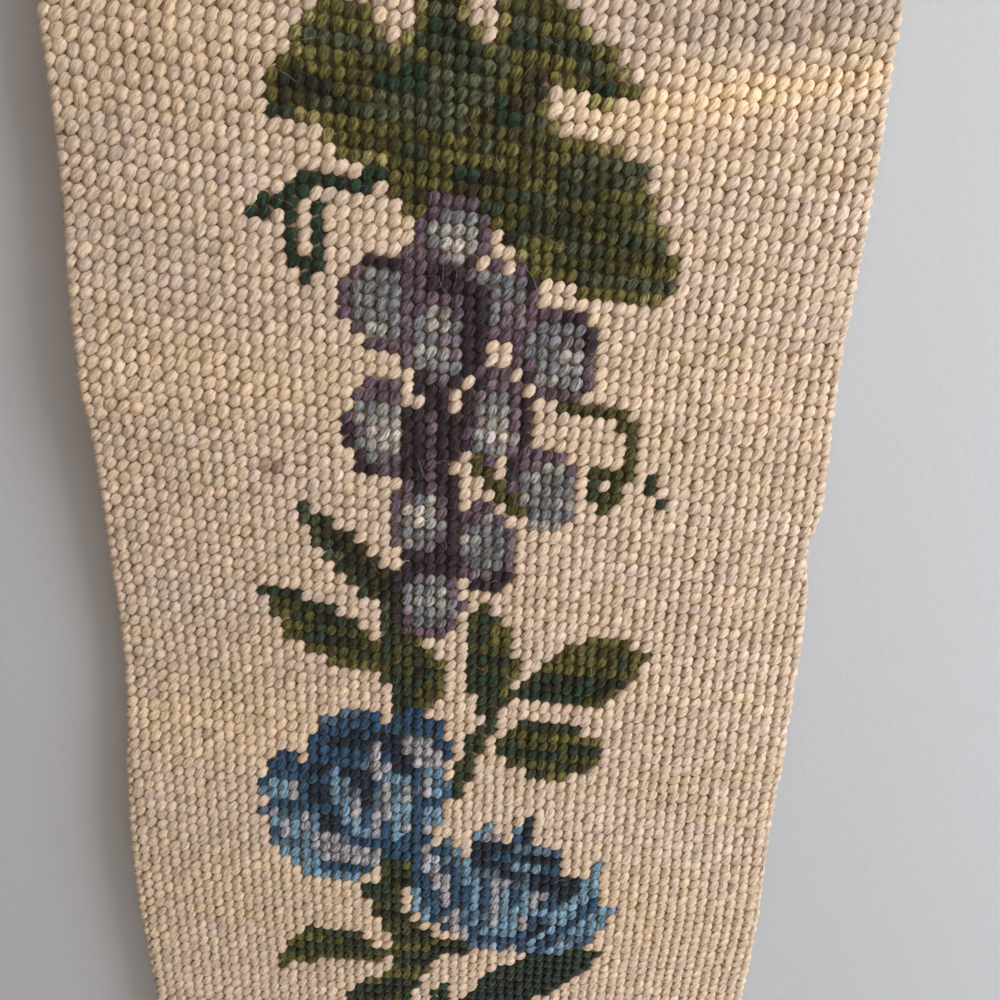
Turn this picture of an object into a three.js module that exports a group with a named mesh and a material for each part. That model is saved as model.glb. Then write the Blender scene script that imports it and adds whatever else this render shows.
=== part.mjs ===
// A needlepoint canvas panel that hangs by its top edge. Millimetres, +Z up, worked face towards -Y.
// It is one cloth: stitched canvas, with its raw edges turned to the back as a hem.
// The origin is at the middle of the top edge, in the canvas's own plane.
import * as THREE from "three";

// Size of the finished panel
const panelWidth = 160;
const panelLength = 300;

// Thickness, measured from the canvas's own plane
const woolInFront = 1.3;
const woolBehind = 1.1;
const hemDepth = 12;
const hemThickness = 1.4;
const hemBevel = 1;
const foldRounding = 1.2;

// The top band is held straight, and the waves start below it
const straightBand = 14;
const waveStart = 24;

// Soft waves across the panel. down: distance under the top edge, at the middle. slant: how much lower it
// lies at the right edge than at the middle. atLeft, atRight: how far it stands out of the plane, towards
// the worked face, at each side edge. reach: half its height.
const waves = [
  { down: 32, slant: 0, atLeft: 2.4, atRight: 0.4, reach: 16 },
  { down: 92, slant: 2, atLeft: 3.0, atRight: -1.8, reach: 22 },
  { down: 172, slant: 6, atLeft: -2.5, atRight: 1.4, reach: 26 },
  { down: 228, slant: 2, atLeft: 0.6, atRight: 3.2, reach: 24 },
  { down: 264, slant: 0, atLeft: 0.2, atRight: -1.2, reach: 15 },
];

// Narrow creases that run in from one side edge and fade out at the length given. One with a negative
// height is a hollow.
const creases = [
  { side: -1, down: 58, slope: 0.1, height: 0.5, reach: 7, length: 70 },
  { side: -1, down: 101, slope: 0, height: 0.9, reach: 6, length: 85 },
  { side: -1, down: 190, slope: 0.05, height: 0.6, reach: 7, length: 60 },
  { side: 1, down: 33, slope: 0.2, height: -1.3, reach: 7.5, length: 90 },
  { side: 1, down: 126, slope: -0.05, height: 0.5, reach: 6, length: 60 },
  { side: 1, down: 188, slope: -0.06, height: 0.6, reach: 6, length: 70 },
];

// The side edges wander. out: how far the edge stands out there, or in where it is negative.
const wander = [
  { side: 1, down: 117, out: 0.5, reach: 10 },
  { side: 1, down: 133, out: -1.2, reach: 9 },
  { side: 1, down: 155, out: 0.4, reach: 12 },
  { side: 1, down: 220, out: -0.5, reach: 20 },
  { side: 1, down: 262, out: 0.9, reach: 14 },
  { side: -1, down: 80, out: 0.5, reach: 24 },
  { side: -1, down: 222, out: 2.6, reach: 45 },
];

// Spacing of the stations along and across the panel, inside its hem
const stationStep = 5;
const acrossStep = 8;

const halfWidth = panelWidth / 2;
const bump = (distance, reach) => Math.exp(-((distance / reach) ** 2));
const smooth = (value, low, high) => THREE.MathUtils.smoothstep(value, low, high);

// Where the canvas's own plane lies, along Y, at a place x across and down from the top edge
function canvasPlane(x, down) {
  const across = x / halfWidth;
  let standsOut = 0;
  for (const wave of waves) {
    const atX = THREE.MathUtils.lerp(wave.atLeft, wave.atRight, (across + 1) / 2);
    standsOut += atX * bump(down - wave.down - wave.slant * across, wave.reach);
  }
  for (const crease of creases) {
    const inwards = halfWidth - crease.side * x;
    const fade = 1 - smooth(inwards, 0, crease.length);
    standsOut += crease.height * fade * bump(down - crease.down - crease.slope * inwards, crease.reach);
  }
  return -standsOut * smooth(down, straightBand, straightBand + waveStart);
}

// How far a side edge has moved sideways, fading to nothing at the middle of the panel
function sideways(x, down) {
  const side = Math.sign(x);
  const share = Math.abs(x / halfWidth) ** 3;
  let out = 0;
  for (const place of wander) {
    if (place.side === side) out += place.out * bump(down - place.down, place.reach);
  }
  return side * share * out;
}

// Stations from one edge to the other: close together round the fold and the hem's step, then even
function stations(length, step) {
  const edge = [0, foldRounding / 4, foldRounding / 1.5, foldRounding, hemDepth - hemBevel, hemDepth];
  const inner = length - 2 * hemDepth;
  const count = Math.round(inner / step);
  const between = Array.from({ length: count - 1 }, (_, i) => hemDepth + (inner * (i + 1)) / count);
  const farEdge = edge.map((distance) => length - distance).reverse();
  return [...edge, ...between, ...farEdge];
}

// How much of its full thickness a face has, this far in from the folded edge: a quarter round
function roundedShare(inwards) {
  const rim = Math.min(inwards / foldRounding, 1);
  return 0.15 + 0.85 * Math.sqrt(1 - (1 - rim) ** 2);
}

function panelGeometry() {
  const acrossStations = stations(panelWidth, acrossStep);
  const downStations = stations(panelLength, stationStep);
  const columns = acrossStations.length;
  const rows = downStations.length;
  const positions = [];
  for (const face of [-1, 1]) {
    for (const down of downStations) {
      for (const fromLeft of acrossStations) {
        const x = fromLeft - halfWidth;
        const inwards = Math.min(fromLeft, panelWidth - fromLeft, down, panelLength - down);
        const hem = face > 0 ? hemThickness * (1 - smooth(inwards, hemDepth - hemBevel, hemDepth)) : 0;
        const thickness = (face > 0 ? woolBehind : woolInFront) + hem;
        const y = canvasPlane(x, down) + face * thickness * roundedShare(inwards);
        positions.push(x + sideways(x, down), y, -down);
      }
    }
  }
  const at = (face, row, column) => (face * rows + row) * columns + column;
  const index = [];
  const quad = (a, b, c, d) => index.push(a, b, c, a, c, d);
  for (let row = 0; row < rows - 1; row++) {
    for (let column = 0; column < columns - 1; column++) {
      quad(at(0, row, column), at(0, row + 1, column), at(0, row + 1, column + 1), at(0, row, column + 1));
      quad(at(1, row, column), at(1, row, column + 1), at(1, row + 1, column + 1), at(1, row + 1, column));
    }
  }
  const last = columns - 1;
  for (let row = 0; row < rows - 1; row++) {
    quad(at(0, row, 0), at(1, row, 0), at(1, row + 1, 0), at(0, row + 1, 0));
    quad(at(0, row, last), at(0, row + 1, last), at(1, row + 1, last), at(1, row, last));
  }
  const bottom = rows - 1;
  for (let column = 0; column < columns - 1; column++) {
    quad(at(0, 0, column), at(0, 0, column + 1), at(1, 0, column + 1), at(1, 0, column));
    quad(at(0, bottom, column), at(1, bottom, column), at(1, bottom, column + 1), at(0, bottom, column + 1));
  }
  const geometry = new THREE.BufferGeometry();
  geometry.setAttribute("position", new THREE.Float32BufferAttribute(positions, 3));
  geometry.setIndex(index);
  geometry.computeVertexNormals();
  return geometry;
}

const wool = new THREE.MeshStandardMaterial({ color: 0xe1c8aa, roughness: 0.9, metalness: 0 });
const panel = new THREE.Mesh(panelGeometry(), wool);
panel.name = "panel";

const group = new THREE.Group();
group.add(panel);
export default group;
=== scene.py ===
"""A needlepoint canvas panel, worked in wool tent stitch, that hangs by its top edge in front of a pale wall.

Sizes are in millimetres until a mesh is made. u runs across the cloth from its middle, d runs down it from
the top edge, and n stands out of the canvas on the worked side. A stitch is named by its column and its row.
"""

import math

import bpy
import numpy as np
from mathutils import Matrix, Vector


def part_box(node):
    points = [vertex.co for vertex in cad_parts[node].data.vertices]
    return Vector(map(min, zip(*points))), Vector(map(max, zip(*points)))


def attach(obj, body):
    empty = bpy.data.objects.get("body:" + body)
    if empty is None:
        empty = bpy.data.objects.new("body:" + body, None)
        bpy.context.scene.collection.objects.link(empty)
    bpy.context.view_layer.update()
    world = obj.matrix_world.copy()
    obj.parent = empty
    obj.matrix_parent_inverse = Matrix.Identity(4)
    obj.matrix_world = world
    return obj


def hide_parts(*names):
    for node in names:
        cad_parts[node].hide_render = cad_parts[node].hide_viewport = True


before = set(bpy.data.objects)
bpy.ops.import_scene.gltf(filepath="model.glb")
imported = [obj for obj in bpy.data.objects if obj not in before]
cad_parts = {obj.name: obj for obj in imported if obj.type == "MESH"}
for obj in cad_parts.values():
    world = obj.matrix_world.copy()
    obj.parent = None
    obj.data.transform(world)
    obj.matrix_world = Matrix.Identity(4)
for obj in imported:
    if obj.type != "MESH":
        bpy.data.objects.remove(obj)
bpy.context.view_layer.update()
rng = np.random.default_rng(7)

MM = 0.001
panel_low, panel_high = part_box("panel")

# The panel, as the part has it
WIDTH = 160.0
LENGTH = (panel_high.z - panel_low.z) / MM
CROWN = 1.3
HEM_DEPTH = 12.0
STRAIGHT_BAND = 14.0
WAVE_START = 24.0

# The canvas lies flat up to these lines, and from there it runs round a fold to its cut edge
FOLD_RADIUS = 0.8
SIDE_START = WIDTH / 2 - CROWN - FOLD_RADIUS
TOP_START = CROWN + FOLD_RADIUS
BOTTOM_START = LENGTH - CROWN - FOLD_RADIUS
FLAT_LENGTH = BOTTOM_START - TOP_START
FOLD_TURN = math.pi * FOLD_RADIUS
CUT_EDGE = FOLD_TURN + HEM_DEPTH - FOLD_RADIUS


def table(columns, *rows):
    """Rows of values, each under the name of its column."""
    return [dict(zip(columns.split(), row)) for row in rows]


# Soft waves: where each lies, how much lower it is at the right edge, how far it stands out at the left and
# the right edge, and half its height
WAVES = table(
    "down slant left right reach",
    (32, 0, 2.4, 0.4, 16),
    (92, 2, 3, -1.8, 22),
    (172, 6, -2.5, 1.4, 26),
    (228, 2, 0.6, 3.2, 24),
    (264, 0, 0.2, -1.2, 15),
)
# Narrow creases that run in from a side edge. One with a negative height is a hollow.
CREASES = table(
    "side down slope height reach length",
    (-1, 58, 0.1, 0.5, 7, 70),
    (-1, 101, 0, 0.9, 6, 85),
    (-1, 190, 0.05, 0.6, 7, 60),
    (1, 33, 0.2, -1.3, 7.5, 90),
    (1, 126, -0.05, 0.5, 6, 60),
    (1, 188, -0.06, 0.6, 6, 70),
)
# Where the side edges wander out or in
WANDER = table(
    "side down out reach",
    (1, 117, 0.5, 10),
    (1, 133, -1.2, 9),
    (1, 155, 0.4, 12),
    (1, 220, -0.5, 20),
    (1, 262, 0.9, 14),
    (-1, 80, 0.5, 24),
    (-1, 222, 2.6, 45),
)

# The canvas mesh. Tent stitch pulls it askew, so the rows run down to the right and sag in the middle. Sag,
# twist and ease are given at the side edges, and the ease for a row that is EASE_REACH from the middle one.
COLUMN = 2.54
ROW = 2.69
FIRST_ROW = 0.6
ROW_SLOPE = 0.097
ROW_SAG = 1.8
ROW_TWIST = 0.7
ROW_EASE = 1.2
EASE_REACH = 110.0
MIDDLE_ROW_DOWN = 132.0
LAST_COLUMN = 34
FIRST_WORKED_ROW = -6
LAST_WORKED_ROW = 117


def smooth(value, low, high):
    share = np.clip((value - low) / (high - low), 0, 1)
    return share * share * (3 - 2 * share)


def bump_at(distance, reach):
    return np.exp(-((distance / reach) ** 2))


def canvas_plane(x, down):
    """How far the canvas lies behind the panel's own plane, as in the part."""
    across = x / (WIDTH / 2)
    stands_out = np.zeros_like(across)
    for wave in WAVES:
        at_x = wave["left"] + (wave["right"] - wave["left"]) * (across + 1) / 2
        stands_out += at_x * bump_at(down - wave["down"] - wave["slant"] * across, wave["reach"])
    for crease in CREASES:
        inwards = WIDTH / 2 - crease["side"] * x
        fade = 1 - smooth(inwards, 0, crease["length"])
        from_crest = down - crease["down"] - crease["slope"] * inwards
        stands_out += crease["height"] * fade * bump_at(from_crest, crease["reach"])
    return -stands_out * smooth(down, STRAIGHT_BAND, STRAIGHT_BAND + WAVE_START)


def fold_start(side, down):
    """How far from the middle the fold at a side edge begins."""
    out = np.zeros_like(down)
    for bend in WANDER:
        out += (side == bend["side"]) * bend["out"] * bump_at(down - bend["down"], bend["reach"])
    return WIDTH / 2 - CROWN + out - FOLD_RADIUS


def place(u, d, n):
    """The point of the cloth at u, d and n, as x, y, z. Past the start of a fold it goes to the back."""
    u, d, n = np.broadcast_arrays(np.asarray(u, float), np.asarray(d, float), np.asarray(n, float))
    side = np.where(u < 0, -1.0, 1.0)
    side_start = fold_start(side, d)
    past_side = np.abs(u) - side_start
    past_top = TOP_START - d
    past_bottom = d - BOTTOM_START
    past_end = np.maximum(past_top, past_bottom)
    past = np.maximum(np.maximum(past_side, past_end), 0)
    angle = np.minimum(past / FOLD_RADIUS, math.pi)
    out = (FOLD_RADIUS + n) * np.sin(angle) - np.maximum(past - FOLD_TURN, 0)
    behind = FOLD_RADIUS - (FOLD_RADIUS + n) * np.cos(angle)
    round_side = (past > 0) & (past_side >= past_end)
    round_end = (past > 0) & ~round_side
    x = np.where(round_side, side * (side_start + out), u)
    end = np.where(past_top > past_bottom, TOP_START - out, BOTTOM_START + out)
    down = np.where(round_end, end, d)
    y = canvas_plane(x, down) + behind
    return np.stack([x, y, -down], -1)


def lattice(column, row):
    """The middle of a stitch, as u and d."""
    u = column * COLUMN
    share = u / (WIDTH / 2)
    straight = FIRST_ROW + row * ROW
    from_middle = (straight - MIDDLE_ROW_DOWN) / EASE_REACH
    d = straight + ROW_SLOPE * u - ROW_SAG * share**2 + ROW_TWIST * share**3 - ROW_EASE * share * from_middle
    return u, d


def noise(a, b, seed, layers=2):
    """Smooth noise over a plane, with a step of 1. Two layers, the second finer, run from -1 to 1."""
    size = 64
    grid = np.random.default_rng(seed).random((size, size)) * 2 - 1
    total = np.zeros_like(a)
    weight = 1.0
    for _ in range(layers):
        i, j = np.floor(a).astype(int), np.floor(b).astype(int)
        fa, fb = smooth(a - i, 0, 1), smooth(b - j, 0, 1)
        i, j, i1, j1 = i % size, j % size, (i + 1) % size, (j + 1) % size
        near = grid[i, j] * (1 - fa) + grid[i1, j] * fa
        far = grid[i, j1] * (1 - fa) + grid[i1, j1] * fa
        total += weight * (near * (1 - fb) + far * fb)
        a, b, weight = a * 2.03 + 7.7, b * 2.03 + 3.1, weight * 0.5
    return total / 1.5


# The wools of each family, as colours on screen from 0 to 255
FAMILIES = {
    "ground": dict(cream=(216, 198, 179)),
    "green": dict(hay=(134, 128, 83), olive=(98, 96, 50), moss=(73, 73, 37), bark=(55, 51, 29),
                  sage=(77, 84, 62), forest=(51, 61, 43), spruce=(38, 58, 42), teal=(32, 50, 44),
                  night=(40, 40, 28)),
    "grape": dict(plum=(52, 42, 51), purple=(99, 84, 98), mauve=(117, 107, 118), slate=(120, 124, 130),
                  dove=(155, 155, 154), pearl=(192, 188, 184)),
    "blue": dict(navy=(30, 42, 58), denim=(45, 76, 105), steel=(84, 106, 128), sky=(114, 150, 176),
                 lilac=(158, 162, 174)),
}
WOOLS = {name: colour for family in FAMILIES.values() for name, colour in family.items()}
WOOL_FAMILY = np.array([name for name, family in FAMILIES.items() for _ in family])
CODE = {name: code for code, name in enumerate(WOOLS)}

# The chart: the wool of each stitch, with the column and the row of each
COLUMNS, ROWS = np.meshgrid(np.arange(-LAST_COLUMN, LAST_COLUMN + 1.0),
                            np.arange(FIRST_WORKED_ROW, LAST_WORKED_ROW + 1.0))
chart = np.full(COLUMNS.shape, CODE["cream"])


def put(shape, wool):
    chart[shape] = CODE[wool]


def oval(centre, long_half, short_half, turn=0.0):
    """How far out each stitch lies in an oval, from 0 to 1 at its edge. turn tips it, in degrees."""
    angle = math.radians(turn)
    dc, dr = COLUMNS - centre[0], ROWS - centre[1]
    along = dc * math.cos(angle) + dr * math.sin(angle)
    across = dr * math.cos(angle) - dc * math.sin(angle)
    return np.hypot(along / long_half, across / short_half)


def ovals(listed):
    """The stitches that lie inside any of the ovals."""
    inside = np.zeros(COLUMNS.shape, bool)
    for shape in listed:
        inside |= oval(*shape) < 1
    return inside


def along_line(points):
    """How far each stitch is from a line through the points."""
    nearest = np.full(COLUMNS.shape, 1e9)
    for (c0, r0), (c1, r1) in zip(points[:-1], points[1:]):
        dc, dr = c1 - c0, r1 - r0
        t = np.clip(((COLUMNS - c0) * dc + (ROWS - r0) * dr) / (dc * dc + dr * dr), 0, 1)
        nearest = np.minimum(nearest, np.hypot(COLUMNS - c0 - t * dc, ROWS - r0 - t * dr))
    return nearest


def work_line(points, wool, half_width=0.55):
    put(along_line(points) < half_width, wool)


def work_lines(listed):
    """Work lines from back to front: each line with its wool and half its width."""
    for line, wool, half_width in listed:
        work_line(line, wool, half_width)


def worked_in(*names):
    """The stitches that are worked in any of these wools so far."""
    return np.isin(chart, [CODE[name] for name in names])


def row_runs(seed, shortest, longest):
    """A value from -1 to 1 that holds for a run of stitches along a row, as one length of yarn does."""
    draw = np.random.default_rng(seed)
    values = np.zeros(COLUMNS.shape)
    for line in values:
        start = -int(draw.integers(0, longest))
        while start < len(line):
            length = int(draw.integers(shortest, longest + 1))
            line[max(start, 0):max(start + length, 0)] = draw.uniform(-1, 1)
            start += length
    return values


short_runs = row_runs(31, 2, 6)
other_runs = row_runs(32, 2, 5)


def rim(shape):
    """The outermost stitches of a shape."""
    beside = [np.roll(shape, step, axis) for axis in (0, 1) for step in (-1, 1)]
    return shape & ~np.logical_and.reduce(beside)


def work_tones(shape, tone, names):
    """Work a shape in wools named from dark to light, by a tone from 0 to 1."""
    step = np.clip((tone * len(names)).astype(int), 0, len(names) - 1)
    for index, name in enumerate(names):
        put(shape & (step == index), name)


def blade(root, tip, half_width, bend=0.0, fullest=0.5):
    """The share along a leaf from its root, and the share across it, from -1 to 1 inside.

    fullest is how far along it is widest, and bend bows it to its right, looking from the root.
    """
    axis = np.array(tip, float) - np.array(root, float)
    length = np.hypot(*axis)
    axis /= length
    along = ((COLUMNS - root[0]) * axis[0] + (ROWS - root[1]) * axis[1]) / length
    across = (ROWS - root[1]) * axis[0] - (COLUMNS - root[0]) * axis[1]
    inside = np.clip(along, 0, 1)
    across = across - bend * np.sin(math.pi * inside)
    half = half_width * np.sin(math.pi * inside ** (math.log(0.5) / math.log(fullest))) ** 0.7
    share = across / np.maximum(half, 0.01)
    share[(along < 0) | (along > 1)] = 9
    return along, share


def work_leaf(root, tip, half_width, names, bend=0.0, fullest=0.5, dark_side=1):
    """A small leaf, in wools named from dark to light: dark along its midrib and down one half."""
    along, share = blade(root, tip, half_width, bend, fullest)
    leaf = np.abs(share) < 1
    tone = 0.5 - 0.2 * share * dark_side + 0.36 * short_runs + 0.1 * along
    tone = np.where(rim(leaf), tone + 0.12, tone)
    tone = np.where(np.abs(share * half_width) < 0.5, tone - 0.25, tone)
    work_tones(leaf, tone, names)


def work_vine_leaf():
    # Lobes, then the notches between them: middle, half length, half width and, where it is tipped, its turn
    leaf = ovals([
        ((-12.2, 16.7), 3.9, 2.1, -33), ((-9.7, 14.6), 3.4, 3.1), ((-8.8, 18.4), 3.4, 2.8),
        ((-2.6, 10.8), 4.4, 2.8, 90), ((4.8, 11.4), 3.9, 3.1, 50), ((8.4, 13.3), 3.7, 1.7, 10),
        ((-1, 17.5), 7.3, 7), ((-3.7, 22.3), 2.9, 2.4, 60), ((9.7, 19.7), 4.3, 2.1, 4),
        ((9, 23.2), 6.6, 4.8, 20), ((12.5, 25.4), 3.9, 3.4, 30), ((6, 24.4), 4.2, 3, 10),
        ((14, 27), 2.3, 1.7),
    ])
    leaf &= ~ovals([((-6.1, 11.4), 1.2, 1.7), ((0.9, 10.2), 1.1, 2.3), ((8.3, 16.4), 2.6, 1, 6)])
    heart = bump_at(oval((2.8, 19.4), 7, 4, 80), 1)
    spine = bump_at(oval((-1.8, 17.6), 5.5, 3, 60), 1)
    below = smooth(ROWS - 0.4 * COLUMNS, 17, 24)
    tone = 0.58 - 0.14 * heart - 0.06 * spine - 0.12 * below + 0.38 * short_runs
    warmth = 0.75 * other_runs + 0.55 * heart - 0.4 * spine - 0.05
    work_tones(leaf & (warmth <= 0), tone, ["night", "spruce", "forest", "sage", "sage", "sage"])
    work_tones(leaf & (warmth > 0), tone, ["bark", "moss", "moss", "olive", "olive"])
    work_tones(rim(leaf) & (other_runs > -0.5), 0.75 + 0.4 * short_runs, ["sage", "olive", "olive", "hay"])
    work_line([(-2.6, 7), (-2, 4.4), (-3, 2.2)], "moss", 0.8)


def work_grape(centre, across, down, dark_way, light=None):
    """A grape: a rim, darkest on the side that dark_way gives in degrees, a fill, and a light place."""
    angle = math.radians(dark_way)
    out = oval(centre, across, down)
    grape = out < 1
    sideways = ((COLUMNS - centre[0]) * math.cos(angle) + (ROWS - centre[1]) * math.sin(angle)) / across
    fill = grape & (out < 1 - 0.95 / across + 0.06 * short_runs)
    put(grape, "purple")
    put(grape & (sideways > 0.62 + 0.2 * other_runs), "plum")
    work_tones(fill, 0.6 - 0.4 * sideways + 0.45 * other_runs, ["mauve", "slate", "slate", "dove"])
    if light:
        put(grape & (oval(light, 1.8, 1.1) < 1), "dove")
        put(grape & (oval(light, 1.15, 0.8) < 1), "pearl")


# From the back to the front: where a grape is, its half sizes, its dark side, and where light falls on some
GRAPES = [
    ((-3.2, 55), 3.3, 3.8, 200), ((1.9, 49.6), 3.1, 4.1, 60),
    ((-1.3, 25.4), 2.9, 3.4, 80, (-1.2, 26)), ((2.6, 29.4), 3.1, 3.2, 20),
    ((-7, 31), 3.3, 3.6, -95), ((-2.6, 33.4), 3.1, 4.3, 60),
    ((7.3, 32.9), 3.5, 3.9, -50), ((-7.3, 40.7), 2.9, 4.2, 150, (-7, 41)),
    ((2.1, 38.8), 2.7, 4.2, 190, (2.4, 39.9)), ((6.5, 44.1), 3.4, 3.8, 190),
    ((-3.8, 48), 2.9, 3.7, 50, (-4.1, 47.4)),
]
# The deepest shade between the grapes: a line, its wool and half its width
GRAPE_SHADE = [
    ([(0.4, 28.8), (0.9, 34)], "plum", 0.85), ([(4.9, 35.6), (5.2, 40.2)], "plum", 0.7),
    ([(-1, 44.8), (-0.9, 51)], "plum", 0.75), ([(-4.6, 51.4), (-1.6, 51.9)], "plum", 0.7),
    ([(-4.3, 38.6), (-4.2, 44.4)], "plum", 0.8), ([(-1.2, 38.6), (-1.2, 44)], "plum", 0.8),
    ([(-2.8, 39), (-2.7, 44.6)], "purple", 0.6), ([(-4.6, 27.4), (-4.2, 30)], "purple", 0.8),
]
# Single stitches of the ground that are left between the grapes
BARE_STITCHES = [
    (1, 27), (2, 26), (3, 26), (3, 27), (3, 33), (2, 34), (3, 34), (4, 35), (5, 36), (-6, 35), (-5, 36),
    (-5, 37), (-4, 38), (-1, 37), (-1, 38), (0, 36), (-1, 43), (0, 42), (1, 44), (3, 42), (2, 45), (4, 47),
    (5, 47), (3, 46),
]


def work_grapes():
    between = ovals([((-2.6, 41), 4.4, 2.4, 90), ((-1, 28), 3, 1.6), ((-0.6, 50), 2.4, 2.4)])
    put(between, "plum")
    for grape in GRAPES:
        work_grape(*grape)
    work_lines(GRAPE_SHADE)
    work_tones(oval((7.4, 44.6), 2.5, 3.1) < 1, 0.5 + 0.5 * short_runs, ["slate", "dove", "dove"])
    work_line([(1, 42.2), (2.2, 43.8), (3.2, 44.8)], "moss", 0.9)
    work_line([(3.6, 45.6), (4.6, 46)], "moss")
    for column, row in BARE_STITCHES:
        put((COLUMNS == column) & (ROWS == row), "cream")


# The tendrils: a line, its wool and half its width
TENDRILS = [
    ([(-6.6, 21.8), (-9, 23), (-12.6, 23.2), (-14.4, 24.6), (-17.4, 26.2)], "spruce", 0.62),
    ([(-14, 24.6), (-14.1, 27.4), (-13.3, 29.5)], "spruce", 0.62),
    ([(-12.4, 25.2), (-11.8, 26.6), (-12, 28.2), (-13.2, 29.4)], "spruce", 0.62),
    ([(7.8, 37), (12.2, 37), (13.4, 38), (14.2, 39.6), (14.2, 41.4), (13, 43.2), (11.6, 44.8)], "moss", 0.62),
    ([(12.6, 41.6), (11.4, 42)], "moss", 0.62), ([(15.4, 41.4), (16.1, 42.7)], "forest", 0.55),
    ([(16.9, 43.6), (17.4, 44.6)], "forest", 0.55), ([(11.2, 43.2), (10.8, 44)], "forest", 0.55),
]
# Wools of the small leaves, from dark to light
SMALL_LEAF = ["night", "spruce", "forest", "moss", "olive"]
DARK_LEAF = ["night", "bark", "forest", "sage"]


def work_small_leaves():
    work_line([(-6.8, 55.4), (-6.4, 60)], "forest", 0.6)
    work_line([(-6.4, 60), (-5.9, 64), (-4.9, 67)], "forest", 0.9)
    work_line([(2.9, 64), (3, 66.2), (1.7, 68.2), (0.8, 70.4), (-0.3, 73.4)], "forest", 0.75)
    work_leaf((-5.9, 56.2), (-14.6, 48), 2, DARK_LEAF, 0.2, 0.45)
    work_leaf((-6.9, 61.8), (-18.2, 56), 2.6, SMALL_LEAF, -0.4, 0.5)
    work_leaf((-4.9, 66.6), (-4.3, 58.4), 2.9, SMALL_LEAF, 0.3, 0.5, -1)
    work_leaf((3, 66.4), (2.2, 54.6), 2.5, SMALL_LEAF, 0, 0.55, -1)
    work_leaf((5.2, 63.2), (17, 57.8), 3.2, SMALL_LEAF, 0.1, 0.55)
    work_leaf((3, 68.6), (13.8, 67.8), 3.2, SMALL_LEAF, 0, 0.5, -1)
    work_line([(4.2, 63.6), (6.4, 62.4)], "forest", 0.6)


# Strokes that shape the rounded flower, from back to front: a line, half its width and its wool
ROUND_FLOWER_STROKES = [
    ([(-12.6, 69.8), (-9.6, 71.6)], 2.3, "navy"),
    ([(-13.6, 73.4), (-12.9, 77.2), (-10.6, 79.4)], 1.3, "navy"), ([(-9.2, 71.4), (-8.9, 76.8)], 0.9, "navy"),
    ([(-14.6, 70.4), (-12.6, 68.6), (-9.8, 67.6)], 0.9, "denim"),
    ([(-7, 69.2), (-5.4, 71.2)], 1.2, "navy"), ([(-11.8, 73.4), (-11.4, 76.2), (-9.6, 78.6)], 0.9, "sky"),
    ([(-10.6, 75.4), (-9.8, 77.4)], 0.5, "lilac"), ([(-8.4, 69.8), (-8, 72.6)], 0.6, "lilac"),
    ([(-7.1, 71.8), (-6.8, 75.2)], 0.7, "lilac"), ([(-6.1, 73.2), (-6.3, 78.6)], 0.6, "sky"),
    ([(-7.3, 75.8), (-7.7, 79.2)], 0.6, "lilac"), ([(-5.2, 73.4), (-5.4, 78)], 0.5, "lilac"),
    ([(-4.2, 71.8), (-4.3, 79.4)], 0.55, "denim"), ([(-4.4, 69.4), (-2.3, 70.8)], 1.2, "lilac"),
    ([(-2.2, 72), (-2, 77)], 1, "sky"), ([(-3.2, 72.6), (-3.2, 78.2)], 0.5, "lilac"),
    ([(-5.6, 66.8), (-2.4, 68), (-1, 70.6)], 0.6, "denim"),
    ([(-17.2, 72.6), (-17.4, 74.6)], 1.6, "denim"),
    ([(-17.4, 76.8), (-15.2, 81.2)], 1.9, "sky"), ([(-16.2, 75.6), (-14.3, 79.4)], 0.7, "lilac"),
    ([(-17.8, 78), (-16.8, 80.4)], 0.5, "lilac"), ([(-13.6, 80.8), (-8.6, 81.4)], 1.2, "lilac"),
    ([(-13, 83), (-8.4, 82.9)], 0.5, "denim"), ([(-16.4, 82.6), (-13, 84.2), (-9, 84.2)], 0.9, "sky"),
]


def work_round_flower():
    """A cup of petals that leans to the right."""
    cup = ovals([((-7.7, 74.4), 7.9, 6.6, 110), ((-12.9, 78.6), 6.6, 5.8, 50), ((-16.6, 75.4), 2.5, 3.8),
                 ((-4.2, 69.2), 3.6, 3.2, 60), ((-10.2, 70.2), 4.4, 3.4, -20), ((-9.6, 67.6), 1.9, 1)])
    cup &= ~ovals([((-15.2, 71.2), 1, 1), ((-6.9, 66.6), 0.9, 0.9)])
    put(cup, "denim")
    for line, half_width, wool in ROUND_FLOWER_STROKES:
        put(cup & (along_line(line) < half_width + 0.12 * other_runs), wool)
    put(cup & (COLUMNS < -15.4) & (ROWS < 75) & (other_runs < -0.1), "navy")
    put(cup & (short_runs < -0.86), "denim")
    put(cup & worked_in("navy") & (short_runs > 0.35), "denim")
    put(cup & worked_in("lilac") & (other_runs > 0.5), "sky")
    put(cup & worked_in("denim", "sky") & (other_runs < -0.66), "steel")


# The fan's stripes: where each begins, in degrees from straight up, and its wool
FAN_STRIPES = [
    (-90, "sky"), (-30, "denim"), (-24, "lilac"), (-17, "denim"), (-11, "sky"), (-5, "denim"), (-1, "lilac"),
    (5, "sky"), (9, "denim"), (12, "sky"), (17, "lilac"), (21, "denim"), (27, "navy"), (30, "sky"),
    (35, "denim"), (40, "sky"), (50, "denim"),
]


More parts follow.
